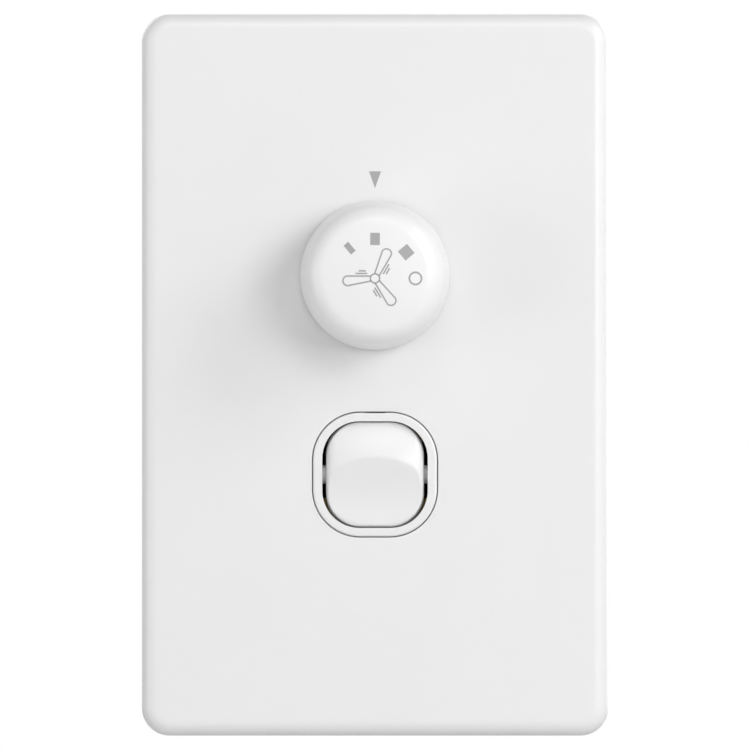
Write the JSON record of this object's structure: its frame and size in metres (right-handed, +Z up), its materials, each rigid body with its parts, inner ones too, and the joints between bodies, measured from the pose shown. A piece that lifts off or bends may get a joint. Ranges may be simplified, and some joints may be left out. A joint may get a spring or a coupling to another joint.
{
  "type": "fan speed control switch",
  "caption": "Wall plate with a rotary fan speed selector knob above a two-way rocker switch, with both mechanisms, their terminals and contacts behind a grid plate.",
  "frame": {"origin": "centre of the wall face, midway between the two wall screw holes", "axes": "+X to the right seen from the front, +Z up, +Y into the wall; the front faces -Y"},
  "size_m": [0.075, 0.0499, 0.116],
  "materials": {
    "white_plastic": "gloss moulded, warm white",
    "grid_plastic": "plain moulded",
    "base_plastic": "plain moulded",
    "dark_plastic": "plain moulded, dark grey",
    "nylon": "natural",
    "spring_steel": "bright",
    "brass": "bright",
    "zinc_steel": "zinc plated",
    "board_laminate": "phenolic laminate",
    "tinned_copper": "tinned",
    "capacitor_case": "moulded case",
    "resistor_body": "lacquered"
  },
  "bodies": {
    "plate": {"cover_plate": "white_plastic", "grid_plate": "grid_plastic", "switch_housing": "white_plastic", "switch_base": "dark_plastic", "common_terminal": "brass", "way_1_terminal": "brass", "way_2_terminal": "brass", "switch_terminal_screws": "zinc_steel", "controller_housing": "base_plastic", "controller_rear_cover": "base_plastic", "controller_cover_screws": "zinc_steel", "circuit_board": "board_laminate", "contact_pads": "tinned_copper", "capacitor_large": "capacitor_case", "capacitor_small": "capacitor_case", "bleed_resistors": "resistor_body", "line_terminal": "brass", "fan_terminal": "brass", "controller_terminal_screws": "zinc_steel", "shaft_bush": "brass", "lock_washer": "zinc_steel", "bush_nut": "zinc_steel", "detent_leaf": "spring_steel"},
    "rocker": {"rocker": "white_plastic", "plunger_spring": "spring_steel"},
    "plunger": {"plunger": "nylon"},
    "contact_arm": {"contact_arm": "brass"},
    "selector": {"selector_shaft": "zinc_steel", "rotor": "nylon", "wiper": "brass", "knob": "white_plastic", "knob_clip": "spring_steel"}
  },
  "joints": [
    {"name": "rocker_tilt", "type": "hinge", "parent": "plate", "child": "rocker", "pos_m": [0, -0.0044, -0.016], "axis": [1, 0, 0], "range_deg": [0, 24]},
    {"name": "plunger_slide", "type": "slide", "parent": "rocker", "child": "plunger", "axis": [0, -0.9781, 0.2079], "range_m": [0, 0.0006], "stiffness_N_per_m": 150, "deforming": ["plunger_spring"]},
    {"name": "contact_arm_tilt", "type": "hinge", "parent": "plate", "child": "contact_arm", "pos_m": [0, 0.0053, -0.016], "axis": [1, 0, 0], "range_deg": [-12, 0]},
    {"name": "selector_turn", "type": "hinge", "parent": "plate", "child": "selector", "pos_m": [0, -0.0079, 0.016], "axis": [0, -1, 0], "range_deg": [-40, 90], "deforming": ["detent_leaf"]}
  ],
  "couplings": [
    {"joint": "contact_arm_tilt", "follows": "rocker_tilt", "ratio": -0.5}
  ]
}
